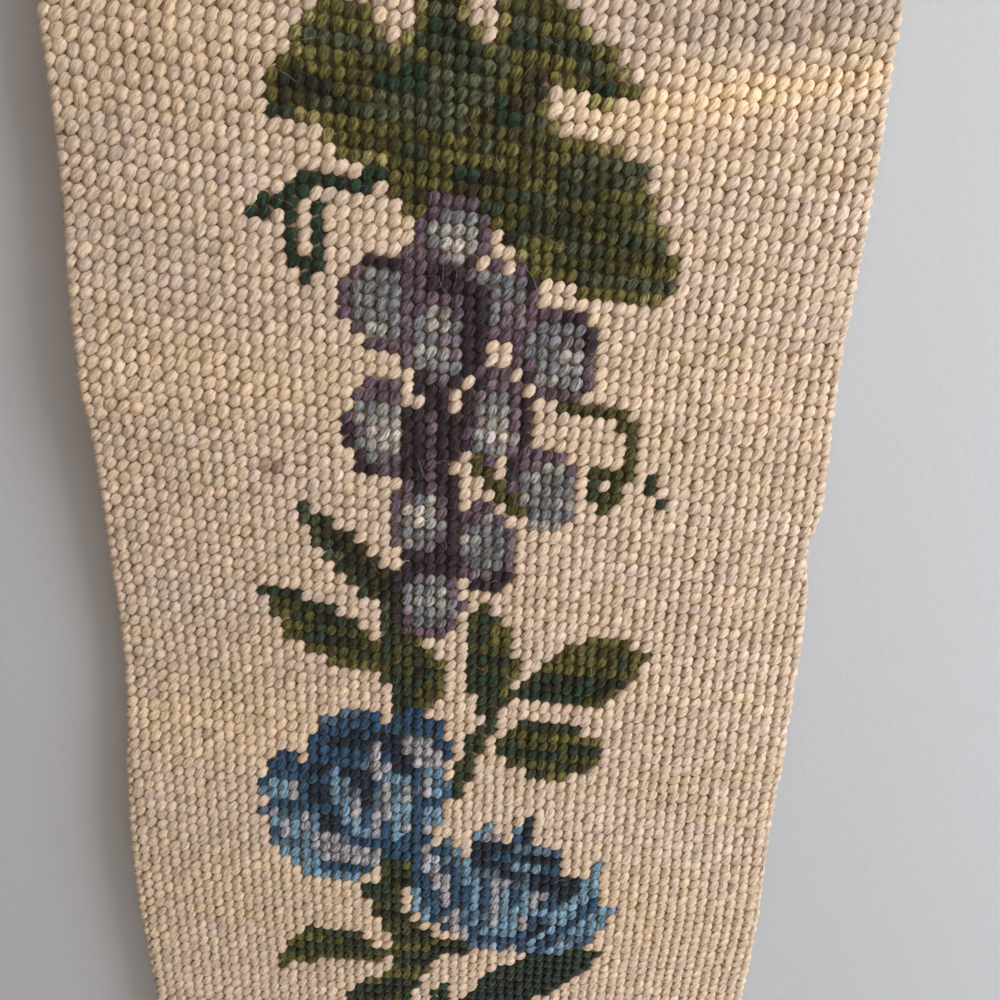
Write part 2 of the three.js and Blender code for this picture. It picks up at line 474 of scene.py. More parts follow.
def work_pointed_flower():
    """A fan of pointed petals, with its stripes spread from below its foot."""
    foot = (3.6, 98)
    turn = np.degrees(np.arctan2(COLUMNS - foot[0], foot[1] - ROWS)) + 1.6 * short_runs
    reach = np.hypot(COLUMNS - foot[0], ROWS - foot[1])
    tips = [(-4.2, 79.2), (-1.2, 78.8), (2.8, 76.2), (6.9, 75.6), (9.6, 77.8), (14.2, 79.4), (16.2, 84.8)]
    petals = ovals([((5.2, 85.6), 9.4, 5.6, 4), ((-2.6, 84.4), 2.2, 4.6), ((5.2, 89), 4.8, 3.2),
                    ((6.3, 78.4), 1.3, 2.3), ((13.7, 82.2), 1.2, 1.9)])
    for tip in tips:
        _, share = blade((4.4, 93.5), tip, 2.4, 0, 0.55)
        petals |= np.abs(share) < 1
    petals &= ~ovals([((12.2, 80.6), 1.3, 0.9), ((-0.4, 90.6), 1.6, 1)]) & (ROWS < 92)
    for start, wool in FAN_STRIPES:
        put(petals & (turn > start), wool)
    back = petals & (reach > 15.4 + 0.8 * other_runs) & (turn > -7) & (turn < 28)
    work_tones(back, 0.5 + 0.5 * short_runs, ["navy", "navy", "denim", "steel"])
    put(petals & (np.abs(reach - 16) < 1.3) & (np.abs(turn - 8) < 14) & (other_runs < 0.3), "navy")
    put(petals & (COLUMNS > 1.4) & (COLUMNS < 4.4) & (ROWS < 78.6), "lilac")
    put(petals & (reach < 8.4) & (other_runs < 0.5), "denim")
    put(petals & (short_runs > 0.9), "sky")
    put(petals & worked_in("denim", "sky") & (other_runs > 0.7), "steel")


# The stems below the flowers: a line, its wool and half its width
LOWER_STEMS = [
    ([(-5.6, 80.8), (-6.4, 84.2)], "moss", 1.6), ([(-7.8, 85.6), (-6.2, 88.6), (-4.6, 91)], "moss", 1.5),
    ([(-4.4, 90.6), (-4.4, 94), (-5.6, 97), (-7.4, 99.6), (-8.6, 104.6)], "moss", 1.7),
    ([(0.2, 91.4), (-2.4, 91.8), (-4, 94.6)], "bark", 1.3), ([(-1.4, 97.4), (-1.6, 99.6)], "spruce", 0.7),
]


def work_lower_stems():
    work_lines(LOWER_STEMS)
    stems = worked_in("moss", "bark") & (ROWS > 80) & (COLUMNS < 2)
    work_tones(stems, 0.5 + 0.46 * short_runs, ["night", "spruce", "forest", "moss", "olive"])
    work_leaf((-6.4, 93.6), (-18.6, 96), 2.2, SMALL_LEAF, 2.6, 0.5, -1)
    work_leaf((-5.4, 97.4), (-11.8, 100.4), 2.2, SMALL_LEAF)
    work_leaf((0.4, 101), (15.2, 90.8), 2.9, ["night", "teal", "teal", "teal", "forest"], -0.5, 0.5)


work_vine_leaf()
work_lines(TENDRILS)
work_grapes()
work_small_leaves()
work_lower_stems()
work_pointed_flower()
work_round_flower()


def linear(colour):
    colour = np.asarray(colour, float) / 255
    return np.where(colour <= 0.04045, colour / 12.92, ((colour + 0.055) / 1.055) ** 2.4)


WOOL_COLOURS = linear(list(WOOLS.values()))
STAIN_COLOUR = linear((112, 64, 38))


# Where the cream ground is painted off its usual colour: the middle, how far the place drops for each mm
# across, half its height, half its length, and how much lighter and yellower it is there. The first two, at
# the top right, are painted light on the lit lower side of the hollow there and painted shade on the band
# above it;
# the rest mostly make it yellower.
PAINTED_LIGHT_AND_TONE_PLACES = table(
    "u d slope high long lighter yellower",
    # Painted light below the top-right hollow, then painted shade above it
    (58, 40, -0.17, 5.5, 42, 0.24, 1.1),
    (64, 28, -0.1, 6, 34, -0.28, -0.4),
    (-48, 97, -0.02, 5, 45, 0.05, 0.7),
    (-60, 182, 0.08, 9, 34, 0.02, 0.9),
    (-60, 34, 0.1, 10, 30, 0, 0.6),
    (62, 192, -0.15, 3, 22, -0.06, 1),
    (-40, 240, 0.1, 16, 60, 0, 0.5),
    (50, 236, 0.1, 14, 50, 0.02, 0.5),
)
# Two small brown stains
STAINS = table("u d reach strength", (-41.8, 117.5, 1.9, 0.9), (-54.9, 106.0, 1.5, 0.85))


def ground_tone_and_painted_light(u, d):
    """How much lighter and how much yellower the cream ground is painted at each stitch: its own tone,
    painted light toward the right edge, and the places above with their painted light and shade.
    """
    row = (d - ROW_SLOPE * u) / ROW
    # Random tone of the wool, and painted light that grows toward the right edge, where the light comes from
    lighter = noise(u / 30, row, 21, 1) * 0.05 + noise(u / 60, row / 5, 22) * 0.04 + 0.05 * u / (WIDTH / 2)
    yellower = noise(u / 34, row, 24, 1) * 0.45 + noise(u / 50, row / 4, 25) * 0.3
    for tone in PAINTED_LIGHT_AND_TONE_PLACES:
        aside = u - tone["u"]
        share = bump_at(d - tone["d"] - tone["slope"] * aside, tone["high"]) * bump_at(aside, tone["long"])
        lighter = lighter + tone["lighter"] * share
        yellower = yellower + tone["yellower"] * share
    return lighter, np.clip(yellower, -0.8, 1.2)


def stitch_colours(u, d, code):
    """The base colour of each stitch, with the small differences from one stitch to the next."""
    colour = WOOL_COLOURS[code]
    count = len(u)
    # The ground's tone, with painted light and painted shade in it
    lighter, yellower = ground_tone_and_painted_light(u, d)
    hue = rng.normal(0, 1, (count, 3)) * np.array([0.012, 0.006, 0.03])
    value = 1 + rng.normal(0, 0.05, count) + lighter
    yellowed = np.stack([1 + 0.03 * yellower, 1 - 0.005 * yellower, 1 - 0.13 * yellower], -1)
    ground = colour * value[:, None] * (1 + hue) * yellowed
    for stain in STAINS:
        share = stain["strength"] * bump_at(np.hypot(u - stain["u"], d - stain["d"]), stain["reach"])[:, None]
        ground = ground * (1 - share) + STAIN_COLOUR * share
    motif_value = 1 + rng.normal(0, 0.1, count) + noise(u / 6, d / 2.5, 23) * 0.12
    motif = colour * np.maximum(motif_value, 0.4)[:, None] * (1 + 1.5 * hue)
    on_ground = (code == CODE["cream"])[:, None]
    return np.clip(np.where(on_ground, ground, motif), 0.002, 0.95)


# Where a grain's last ring of points lies, as a share of its half length, and the range of its fibres' seeds
LAST_RING = 0.87
SEED_SPREAD = 40.0


def grain(rings, turns, fullness, ply_depth=0.0, ply_twist=0.0):
    """A closed grain shape: points as share along, direction across and direction out, and its faces.

    turns are the angles of its section, in degrees, from its right edge over its crown. With ply_depth, the
    plies lie at the odd angles and the grooves between them at the even ones, and ply_twist turns them along
    the yarn.
    """
    sides = len(turns)
    along = np.repeat(np.linspace(-LAST_RING, LAST_RING, rings), sides)
    turned = np.radians(np.tile(turns, rings)) + math.radians(ply_twist) * along
    size = (1 - np.abs(along) ** fullness) ** 0.5
    groove = np.tile(np.where(np.arange(sides) % 2 == 0, 1 - ply_depth, 1.0), rings)
    points = np.stack([along, size * groove * np.cos(turned), size * groove * np.sin(turned)], -1)
    points = np.concatenate([points, [[-1, 0, 0], [1, 0, 0]]])
    first, last = rings * sides, rings * sides + 1
    quads, ends = [], []
    for ring in range(rings - 1):
        for k in range(sides):
            a, b = ring * sides + k, ring * sides + (k + 1) % sides
            quads.append((a, b, b + sides, a + sides))
    for k in range(sides):
        k1 = (k + 1) % sides
        ends.append((first, k1, k))
        ends.append((last, (rings - 1) * sides + k, (rings - 1) * sides + k1))
    turn_share = np.concatenate([np.tile(np.array(turns) / 360, rings), [0.25, 0.25]])
    return points, quads, ends, turn_share


# Three plies over the crown of a stitch, and a narrow foot that stays hidden in the canvas
PLIED_SECTION = (0, 30, 60, 90, 120, 150, 180, 235, 305)
PLAIN_SECTION = (0, 72, 144, 216, 288)


def add_object(name, data):
    added = bpy.data.objects.new(name, data)
    bpy.context.scene.collection.objects.link(added)
    return added


def mesh_object(name, points, faces):
    """A smooth mesh piece from points in mm and lists of faces."""
    mesh = bpy.data.meshes.new(name)
    mesh.from_pydata([tuple(p) for p in np.asarray(points) * MM], [], faces)
    mesh.update()
    mesh.shade_smooth()
    return add_object(name, mesh)


def colour_points(mesh, name, colours):
    """Give each point of a mesh a colour, under a name that its material reads."""
    layer = mesh.color_attributes.new(name, "FLOAT_COLOR", "POINT")
    opaque = np.concatenate([colours, np.ones((len(colours), 1))], 1)
    layer.data.foreach_set("color", opaque.astype(np.float32).ravel())


def map_yarn(mesh, shape, count):
    """Map every grain of a mesh by its share along the yarn and its turn round it."""
    points, quads, ends, turn_share = shape
    quad_turn = [[turn_share[a], turn_share[b] + (turn_share[b] < turn_share[a])] for a, b, _, _ in quads]
    quad_turn = np.array(quad_turn)[:, [0, 1, 1, 0]].ravel()
    quads, ends = np.ravel(quads), np.ravel(ends)
    along = points[np.concatenate([np.tile(quads, count), np.tile(ends, count)]), 0]
    turn = np.concatenate([np.tile(quad_turn, count), np.tile(turn_share[ends], count)])
    yarn = mesh.uv_layers.new(name="yarn")
    yarn.data.foreach_set("uv", np.stack([along, turn], -1).astype(np.float32).ravel())


def grains_object(name, shape, points, colours):
    """Many grains joined as one mesh, with the wool's colour, a seed and a map along each yarn."""
    count, size = points.shape[:2]
    starts = np.arange(count)[:, None, None] * size
    quads = (np.array(shape[1])[None] + starts).reshape(-1, 4)
    ends = (np.array(shape[2])[None] + starts).reshape(-1, 3)
    corners = np.concatenate([quads.ravel(), ends.ravel()])
    sizes = np.concatenate([np.full(len(quads), 4), np.full(len(ends), 3)])
    face_starts = np.concatenate([[0], np.cumsum(sizes)[:-1]])
    mesh = bpy.data.meshes.new(name)
    mesh.vertices.add(count * size)
    mesh.vertices.foreach_set("co", (points * MM).astype(np.float32).ravel())
    mesh.loops.add(len(corners))
    mesh.loops.foreach_set("vertex_index", corners.astype(np.int32))
    mesh.polygons.add(len(sizes))
    mesh.polygons.foreach_set("loop_start", face_starts.astype(np.int32))
    mesh.update(calc_edges=True)
    mesh.validate()
    colour_points(mesh, "wool", np.repeat(colours, size, 0))
    seed = mesh.attributes.new("seed", "FLOAT", "POINT")
    seed.data.foreach_set("value", np.repeat(rng.random(count) * SEED_SPREAD, size).astype(np.float32))
    map_yarn(mesh, shape, count)
    mesh.shade_smooth()
    return add_object(name, mesh)


def grain_points(shape, u, d, lean, half_length, half_width, low, rise, dive, taper=0.0):
    """The points of many grains, laid on the cloth.

    low is how far a grain's middle line lies before the canvas, or behind it where it is negative, and rise
    is half its thickness. dive draws its ends back, and taper makes its upper end wider.
    """
    points = shape[0]
    along = points[None, :, 0] * half_length[:, None]
    across = points[None, :, 1] * half_width[:, None] * (1 + taper * points[None, :, 0])
    cosine, sine = np.cos(lean)[:, None], np.sin(lean)[:, None]
    on_u = u[:, None] + along * cosine + across * sine
    on_d = d[:, None] - along * sine + across * cosine
    out = low[:, None] + points[None, :, 2] * rise[:, None] - dive * points[None, :, 0] ** 2
    return place(on_u, on_d, out)


# How far the stitches go on behind the canvas, past the end of a fold, and how far past the start of one fold
# they still go round another
WORKED_BEHIND = 3.6
CORNER_REACH = 0.95


def worked_stitches():
    """Every stitch that is worked, also round the folds: its place and its wool."""
    u, d = lattice(COLUMNS.ravel(), ROWS.ravel())
    past_side = np.abs(u) - fold_start(np.where(u < 0, -1.0, 1.0), d)
    past_end = np.maximum(TOP_START - d, d - BOTTOM_START)
    keep = np.maximum(past_side, past_end) < FOLD_TURN + WORKED_BEHIND
    keep &= np.minimum(past_side, past_end) <= CORNER_REACH
    return u[keep], d[keep], chart.ravel()[keep]


# The stitches of each family: width and length as shares of the ground's, and how many degrees steeper they
# lean. The motifs' are tighter, so that the holes show between their rows.
STITCH_SHAPE = {
    "ground": (1.0, 1.0, 0.0),
    "green": (0.94, 0.81, 9.0),
    "grape": (0.95, 0.86, 7.0),
    "blue": (0.95, 0.86, 7.0),
}
# A ground stitch, on the face and on the reverse: its lean in degrees from level, its half sizes, and how far
# its middle line is off the canvas
FACE = dict(lean=48, length=1.92, width=1.31, thickness=0.82, off=0.4)
REVERSE = dict(lean=24, length=2.45, width=0.92, thickness=0.62, off=0.4)
GROUND_BANDS = 3


def wool_front():
    """Tent stitches on the worked face, in pieces by wool family, the ground in bands."""
    shape = grain(5, PLIED_SECTION, 2.9, 0.2, -26)
    u, d, code = worked_stitches()
    count = len(u)
    family_of = WOOL_FAMILY[code]
    slimmer, shorter, steeper = np.array([STITCH_SHAPE[family] for family in family_of]).T
    tension = noise(u / 7, d / 4, 41)
    lean = np.radians(rng.normal(FACE["lean"], 4.5, count) + steeper + 3 * noise(u / 12, d / 6, 43))
    half_length = FACE["length"] * shorter * rng.normal(1, 0.06, count)
    half_width = FACE["width"] * slimmer * (rng.normal(1, 0.07, count) + 0.05 * tension)
    rise = FACE["thickness"] * (rng.normal(1, 0.08, count) + 0.06 * tension)
    low = rng.normal(FACE["off"], 0.06, count)
    centre_u = u + rng.normal(0, 0.12, count)
    centre_d = d + rng.normal(0, 0.12, count) + 0.16 * noise(u / 10, d / 5, 42)
    points = grain_points(shape, centre_u, centre_d, lean, half_length, half_width, low, rise, 0.45, 0.06)
    colours = stitch_colours(u, d, code)
    limits = np.quantile(d[family_of == "ground"], np.linspace(0, 1, GROUND_BANDS + 1))
    limits[-1] += 1
    parts = {}
    for band in range(GROUND_BANDS):
        in_band = (d >= limits[band]) & (d < limits[band + 1])
        parts[f"ground_wool_{band + 1}"] = (family_of == "ground") & in_band
    for family in ("green", "grape", "blue"):
        parts[f"{family}_wool"] = family_of == family
    return {name: grains_object(name, shape, points[part], colours[part]) for name, part in parts.items()}


def wool_back():
    """The reverse of the stitches, longer and flatter, inside the hem and a little under it."""
    shape = grain(3, PLAIN_SECTION, 2.4)
    u, d, code = worked_stitches()
    border = HEM_DEPTH - 1.5
    inside = (np.abs(u) < WIDTH / 2 - border) & (d > border) & (d < LENGTH - border)
    u, d, code = u[inside], d[inside], code[inside]
    count = len(u)
    lean = np.radians(rng.normal(REVERSE["lean"], 7, count))
    half_length = REVERSE["length"] * rng.normal(1, 0.08, count)
    half_width = REVERSE["width"] * rng.normal(1, 0.08, count)
    low = -rng.normal(REVERSE["off"], 0.08, count)
    rise = REVERSE["thickness"] * rng.normal(1, 0.08, count)
    centre_u = u + COLUMN / 2 + rng.normal(0, 0.15, count)
    centre_d = d + rng.normal(0, 0.15, count)
    points = grain_points(shape, centre_u, centre_d, lean, half_length, half_width, low, rise, -0.25)
    colours = stitch_colours(u, d, code)
    made = {}
    for family in FAMILIES:
        part = WOOL_FAMILY[code] == family
        made[f"{family}_reverse"] = grains_object(f"{family}_reverse", shape, points[part], colours[part])
    return made


CANVAS_THICKNESS = 0.3


def sheet_of_canvas():
    """The cut canvas as one thin sheet: the field, and a flap turned to the back along each edge, mitred."""
    across = np.linspace(-1, 1, 65)
    down = np.linspace(0, 1, 121)
    past = np.concatenate([np.linspace(0, FOLD_TURN, 7), np.linspace(FOLD_TURN, CUT_EDGE, 6)[1:]])
    mitre = np.maximum(past - FOLD_TURN, 0)
    points, faces = [], []

    def add_grid(us, ds):
        base = sum(len(p) for p in points)
        points.append(place(us, ds, 0.0).reshape(-1, 3))
        index = base + np.arange(us.size).reshape(us.shape)
        quads = np.stack([index[:-1, :-1], index[1:, :-1], index[1:, 1:], index[:-1, 1:]], -1)
        faces.extend(quads.reshape(-1, 4).tolist())

    side, ds = np.meshgrid(np.sign(across), TOP_START + down * FLAT_LENGTH)
    add_grid(across[None, :] * fold_start(side, ds), ds)
    for side in (-1, 1):
        ds = TOP_START + mitre[None, :] + down[:, None] * (FLAT_LENGTH - 2 * mitre[None, :])
        us = side * (fold_start(side, ds) + past[None, :])
        add_grid(us[:, ::side], ds[:, ::side])
    for end, level in ((-1, TOP_START - past), (1, BOTTOM_START + past)):
        us = across[None, :] * (SIDE_START - mitre)[:, None]
        ds = np.broadcast_to(level[:, None], us.shape)
        add_grid(us[::end], ds[::end])
    piece = mesh_object("canvas", np.concatenate(points), faces)
    bpy.context.view_layer.objects.active = piece
    weld = piece.modifiers.new("weld", "WELD")
    weld.merge_threshold = 0.02 * MM
    thick = piece.modifiers.new("thickness", "SOLIDIFY")
    thick.thickness = CANVAS_THICKNESS * MM
    thick.offset = 0
    for name in ("weld", "thickness"):
        bpy.ops.object.modifier_apply(modifier=name)
    return piece, (2 * (SIDE_START + CUT_EDGE), FLAT_LENGTH + 2 * CUT_EDGE)


def nearest_wool(x, down):
    """The wool worked at a place of the front, as its code."""
    share = x / (WIDTH / 2)
    ease = ROW_EASE * share / EASE_REACH
    straight = down - ROW_SLOPE * x + ROW_SAG * share**2 - ROW_TWIST * share**3 - ease * MIDDLE_ROW_DOWN
    row = np.round((straight / (1 - ease) - FIRST_ROW) / ROW).astype(int) - FIRST_WORKED_ROW
    column = np.round(x / COLUMN).astype(int) + LAST_COLUMN
    return chart[np.clip(row, 0, chart.shape[0] - 1), np.clip(column, 0, chart.shape[1] - 1)]


def tint_canvas(piece):
    """Under dark stitches the holes of the canvas are lined with their wool, so it looks darker there."""
    at = np.empty(len(piece.data.vertices) * 3)
    piece.data.vertices.foreach_get("co", at)
    x, y, z = at.reshape(-1, 3).T / MM
    tint = np.clip(WOOL_COLOURS[nearest_wool(x, -z)] / WOOL_COLOURS[CODE["cream"]], 0.03, 1)
    on_hem = y > canvas_plane(x, -z) + FOLD_RADIUS
    tint[on_hem] = 1.0
    colour_points(piece.data, "lined", tint)


def tubes_object(name, paths, radii, sides=4):
    """Many thin closed tubes as one mesh. A path is an array of points in mm, and each has its radius."""
    points, faces = [], []
    base = 0
    turns = np.arange(sides) / sides * 2 * math.pi
    for path, radius in zip(paths, radii):
        steps = len(path)
        direction = np.gradient(path, axis=0)
        direction /= np.linalg.norm(direction, axis=1)[:, None] + 1e-9
        aside = np.cross(direction, np.array([0.31, 0.83, 0.46]))
        aside /= np.linalg.norm(aside, axis=1)[:, None] + 1e-9
        other = np.cross(direction, aside)
        ring = (path[:, None] + radius * (aside[:, None] * np.cos(turns)[None, :, None]
                                          + other[:, None] * np.sin(turns)[None, :, None]))
        points.append(ring.reshape(-1, 3))
        for step in range(steps - 1):
            for k in range(sides):
                a, b = base + step * sides + k, base + step * sides + (k + 1) % sides
                faces.append((a, b, b + sides, a + sides))
        faces.append(tuple(base + k for k in range(sides))[::-1])
        faces.append(tuple(base + (steps - 1) * sides + k for k in range(sides)))
        base += steps * sides
    return mesh_object(name, np.concatenate(points), faces)


# The bare threads of the hem: how far past the fold those begin that cross it, how thick all are, and how far
# they stand off the sheet, more or less by the weave
THREAD_START = 1.0
THREAD_RADIUS = 0.42
THREAD_LIFT = 0.35
WEAVE = 0.22
THREADS_ALONG = 4


def hem_threads():
    """The woven threads of the bare canvas on the turned hem, with their cut ends a little frayed."""
    paths = []

    def crossing(count, along_max, to_flat):
        """Threads that run from the fold to the cut edge, over and under."""
        for k in range(count):
            fray = rng.uniform(-0.3, 1.2)
            past = np.linspace(FOLD_TURN + THREAD_START, CUT_EDGE + fray, 9)
            lift = THREAD_LIFT + WEAVE * np.cos(math.pi * ((past - FOLD_TURN) / COLUMN + k))
            position = (k + 0.5) / count * along_max
            mitre = np.minimum(position, along_max - position)
            keep = past - FOLD_TURN < mitre + 0.5
            if keep.sum() > 2:
                paths.append(place(*to_flat(past[keep], position), lift[keep]))

    def running(along_max, to_flat):
        """Threads that run along the hem, as many as its depth has room for."""
        for k in range(THREADS_ALONG):
            past = FOLD_TURN + (k + 1.4) * COLUMN
            start = past - FOLD_TURN
            position = np.arange(start, along_max - start, COLUMN / 2)
            lift = THREAD_LIFT - WEAVE * np.cos(math.pi * (position / COLUMN + k))
            paths.append(place(*to_flat(past, position), lift))

    for side in (-1, 1):
        def to_side(past, position, side=side):
            d = TOP_START + position
            return side * (fold_start(side, d) + past), d
        crossing(int(FLAT_LENGTH / ROW), FLAT_LENGTH, to_side)
        running(FLAT_LENGTH, to_side)
    for end in (-1, 1):
        def to_end(past, position, end=end):
            return position - SIDE_START, TOP_START - past if end < 0 else BOTTOM_START + past
        crossing(int(2 * SIDE_START / COLUMN), 2 * SIDE_START, to_end)
        running(2 * SIDE_START, to_end)
    return tubes_object("hem_threads", paths, [THREAD_RADIUS] * len(paths))


SEWING_RADIUS = 0.26
SEWING_PITCH = 6.5


def hem_sewing():
    """Slanting stitches that hold the hem's cut edge down."""
    paths = []
    cut_edge = WIDTH / 2 - HEM_DEPTH
    above_hem = 2 * FOLD_RADIUS + 0.25

    def whip(start, end):
        """One stitch over the cut edge, from the worked back to the hem."""
        start, end = np.array(start, float), np.array(end, float)
        share = np.linspace(0, 1, 6)[:, None]
        x, down = (start + (end - start) * share).T
        rise = above_hem + 0.9 * np.sin(math.pi * share[:, 0])
        paths.append(np.stack([x, canvas_plane(x, down) + rise, -down], -1))

    for side in (-1, 1):
        for d in np.arange(HEM_DEPTH + 2, LENGTH - HEM_DEPTH - 2, SEWING_PITCH):
            d = d + rng.normal(0, 0.4)
            whip((side * (cut_edge - 1.6), d), (side * (cut_edge + 1.8), d + 2.4))
    for d, step in ((HEM_DEPTH, 1), (LENGTH - HEM_DEPTH, -1)):
        for x in np.arange(-cut_edge + 2, cut_edge - 2, SEWING_PITCH):
            x = x + rng.normal(0, 0.4)
            whip((x, d + 1.6 * step), (x + 2.4, d - 1.8 * step))
    return tubes_object("hem_sewing", paths, [SEWING_RADIUS] * len(paths))


FIBRES = 360
FIBRE_POINTS = 7


def loose_fibres():
    """Fine hairs that stand off the wool. Every sixth one is on the grapes."""
    paths, radii = [], []
    for k in range(FIBRES):
        if k % 6 == 0:
            column, row = rng.uniform(-9, 9), rng.uniform(24, 58)
        else:
            column, row = rng.uniform(-31, 31), rng.uniform(1, 109)
        u, d = lattice(column, row)
        heading = rng.uniform(0, 2 * math.pi)
        heading = heading + rng.normal(0, 0.35, FIBRE_POINTS).cumsum()
        step = rng.uniform(0.25, 0.9)
        us = u + np.cumsum(np.cos(heading)) * step
        ds = d + np.cumsum(np.sin(heading)) * step
        arch = np.sin(np.linspace(0.15, 0.9, FIBRE_POINTS) * math.pi)
        paths.append(place(us, ds, 1.0 + rng.uniform(0.25, 0.7) * arch))
        radii.append(rng.uniform(0.014, 0.026))
    return tubes_object("loose_fibres", paths, radii, 3)


def feed(tree, to_node, inputs):
    """Link each named input of a node where it is given a socket, and set it where it is given a value."""
    for name, value in inputs.items():
        if isinstance(value, bpy.types.NodeSocket):
            tree.links.new(value, to_node.inputs[name])
        else:
            to_node.inputs[name].default_value = value


def node(tree, kind, inputs=None, **settings):
    made = tree.nodes.new("ShaderNode" + kind)
    for name, value in settings.items():
        setattr(made, name, value)
    feed(tree, made, inputs or {})
    return made


def maths(tree, operation, *values):
    return node(tree, "Math", dict(enumerate(values)), operation=operation).outputs["Value"]


def mixed(tree, share, first, second, way="MIX"):
    """A mix of two colours, by the share of the second one."""
    inputs = {"Factor": share, "A": first, "B": second}
    return node(tree, "Mix", inputs, data_type="RGBA", blend_type=way).outputs["Result"]


def bumped(tree, height, strength, distance):
    """The normal that a height gives, with its depth in mm."""
    inputs = {"Height": height, "Strength": strength, "Distance": distance * MM}
    return node(tree, "Bump", inputs).outputs["Normal"]


def new_material(name):
    material = bpy.data.materials.new(name)
    material.use_nodes = True
    tree = material.node_tree
    tree.nodes.clear()
    shader = node(tree, "BsdfPrincipled")
    node(tree, "OutputMaterial", {"Surface": shader.outputs["BSDF"]})
    return material, tree, shader


def fibre_group():
    """Fibres along a yarn: a height for the bump, and a mask of the lines between them."""
    group = bpy.data.node_groups.new("yarn_fibres", "ShaderNodeTree")
    for name, way in (("Fine", "INPUT"), ("Height", "OUTPUT"), ("Lines", "OUTPUT")):
        group.interface.new_socket(name, in_out=way, socket_type="NodeSocketFloat")
    start, end = group.nodes.new("NodeGroupInput"), group.nodes.new("NodeGroupOutput")
    seed = node(group, "Attribute", attribute_name="seed")
    uv = node(group, "UVMap", uv_map="yarn")
    split = node(group, "SeparateXYZ", {"Vector": uv.outputs["UV"]})
    along, turn = split.outputs["X"], split.outputs["Y"]
    around = maths(group, "MULTIPLY", maths(group, "MULTIPLY_ADD", along, -0.1, turn), start.outputs["Fine"])
    join = node(group, "CombineXYZ", {"X": along, "Y": around, "Z": seed.outputs["Fac"]})
    strands = node(group, "TexNoise", {"Vector": join.outputs["Vector"], "Scale": 1.0}).outputs["Fac"]
    lines = node(group, "MapRange", {"Value": strands, "From Min": 0.38, "From Max": 0.62})
    feed(group, end, {"Height": strands, "Lines": lines.outputs["Result"]})
    return group


def wool_material(name, fibres, darkest, lightest, sheen):
    """Matt twisted wool: each stitch's own colour, streaked by its fibres, with a soft sheen. The streaks are
    partly the fibres' own colour and partly painted highlight on the raised fibres and painted shade between
    them.
    """
    material, tree, shader = new_material(name)
    colour = node(tree, "Attribute", attribute_name="wool")
    group = node(tree, "Group", node_tree=fibres)
    feed(tree, group, {"Fine": 11.0})
    # Lighter where the fibres stand up and darker between them: painted highlight and painted shade that
    # follow the bump
    fibre_highlight_and_shade = node(tree, "MapRange", {"Value": group.outputs["Lines"], "To Min": darkest, "To Max": lightest})
    feed(tree, shader, {
        "Base Color": mixed(tree, 1.0, colour.outputs["Color"], fibre_highlight_and_shade.outputs["Result"], "MULTIPLY"),
        "Normal": bumped(tree, group.outputs["Height"], 0.9, 0.5),
        "Roughness": 0.85, "Specular IOR Level": 0.25, "Sheen Weight": sheen,
    })
    return material


def canvas_material():
    """Sized cotton mesh: a square weave with its holes painted dark as shade, tinted by the wool that lines
    them.
    """
    material, tree, shader = new_material("canvas_mesh")
    in_meshes = node(tree, "Mapping", {
        "Vector": node(tree, "TexCoord").outputs["Object"],
        "Scale": (1 / (COLUMN * MM), 1, 1 / (ROW * MM)),
    })
    split = node(tree, "SeparateXYZ", {"Vector": in_meshes.outputs["Vector"]})
    from_thread = [maths(tree, "PINGPONG", split.outputs[axis], 0.5) for axis in ("X", "Z")]
    nearest = maths(tree, "MINIMUM", *from_thread)
    # The holes are painted dark brown: painted shade for their depth, where the wool behind lies in shadow
    hole_shade = node(tree, "MapRange", {"Value": nearest, "From Min": 0.16, "From Max": 0.26})
    weave = mixed(tree, hole_shade.outputs["Result"], (0.5, 0.35, 0.22, 1), (0.2, 0.12, 0.07, 1))
    lined = node(tree, "Attribute", attribute_name="lined")
    tinted = mixed(tree, 1.0, weave, lined.outputs["Color"], "MULTIPLY")
    feed(tree, shader, {"Base Color": tinted, "Roughness": 0.9})
    return material


def speckle(tree, scale):
    """Fine noise on the piece's own place."""
    at = node(tree, "TexCoord").outputs["Object"]
    return node(tree, "TexNoise", {"Vector": at, "Scale": scale, "Detail": 3.0}).outputs["Fac"]


def thread_material(name, colour, scale):
    """Plain spun thread with small changes of colour along it."""
    material, tree, shader = new_material(name)
    dark = (*(c * 0.6 for c in colour), 1)
    light = (*(min(c * 1.3, 0.95) for c in colour), 1)
    feed(tree, shader, {"Base Color": mixed(tree, speckle(tree, scale), dark, light), "Roughness": 0.85})
    return material


def wall_material():
    """Pale painted plaster with a fine roller texture.

    It is clear from behind and lets light through, so that the panel's back shows and is lit.
    """
    material, tree, shader = new_material("painted_wall")
    stipple = bumped(tree, speckle(tree, 420.0), 0.25, 0.4)
    feed(tree, shader, {"Base Color": (0.485, 0.53, 0.595, 1), "Normal": stipple, "Roughness": 0.7})
    clear = node(tree, "BsdfTransparent")
    facing = node(tree, "NewGeometry")
    path = node(tree, "LightPath")
    is_clear = maths(tree, "MAXIMUM", facing.outputs["Backfacing"], path.outputs["Is Shadow Ray"])
    either = node(tree, "MixShader", {"Fac": is_clear, 1: shader.outputs["BSDF"], 2: clear.outputs["BSDF"]})
    feed(tree, tree.nodes["Material Output"], {"Surface": either.outputs["Shader"]})
    return material


def floor_material():
    material, tree, shader = new_material("pale_floor")
    feed(tree, shader, {"Base Color": (0.7, 0.69, 0.67, 1), "Roughness": 0.8})
    return material


def dress(piece, material):
    piece.data.materials.append(material)
    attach(piece, "root")


fibres = fibre_group()
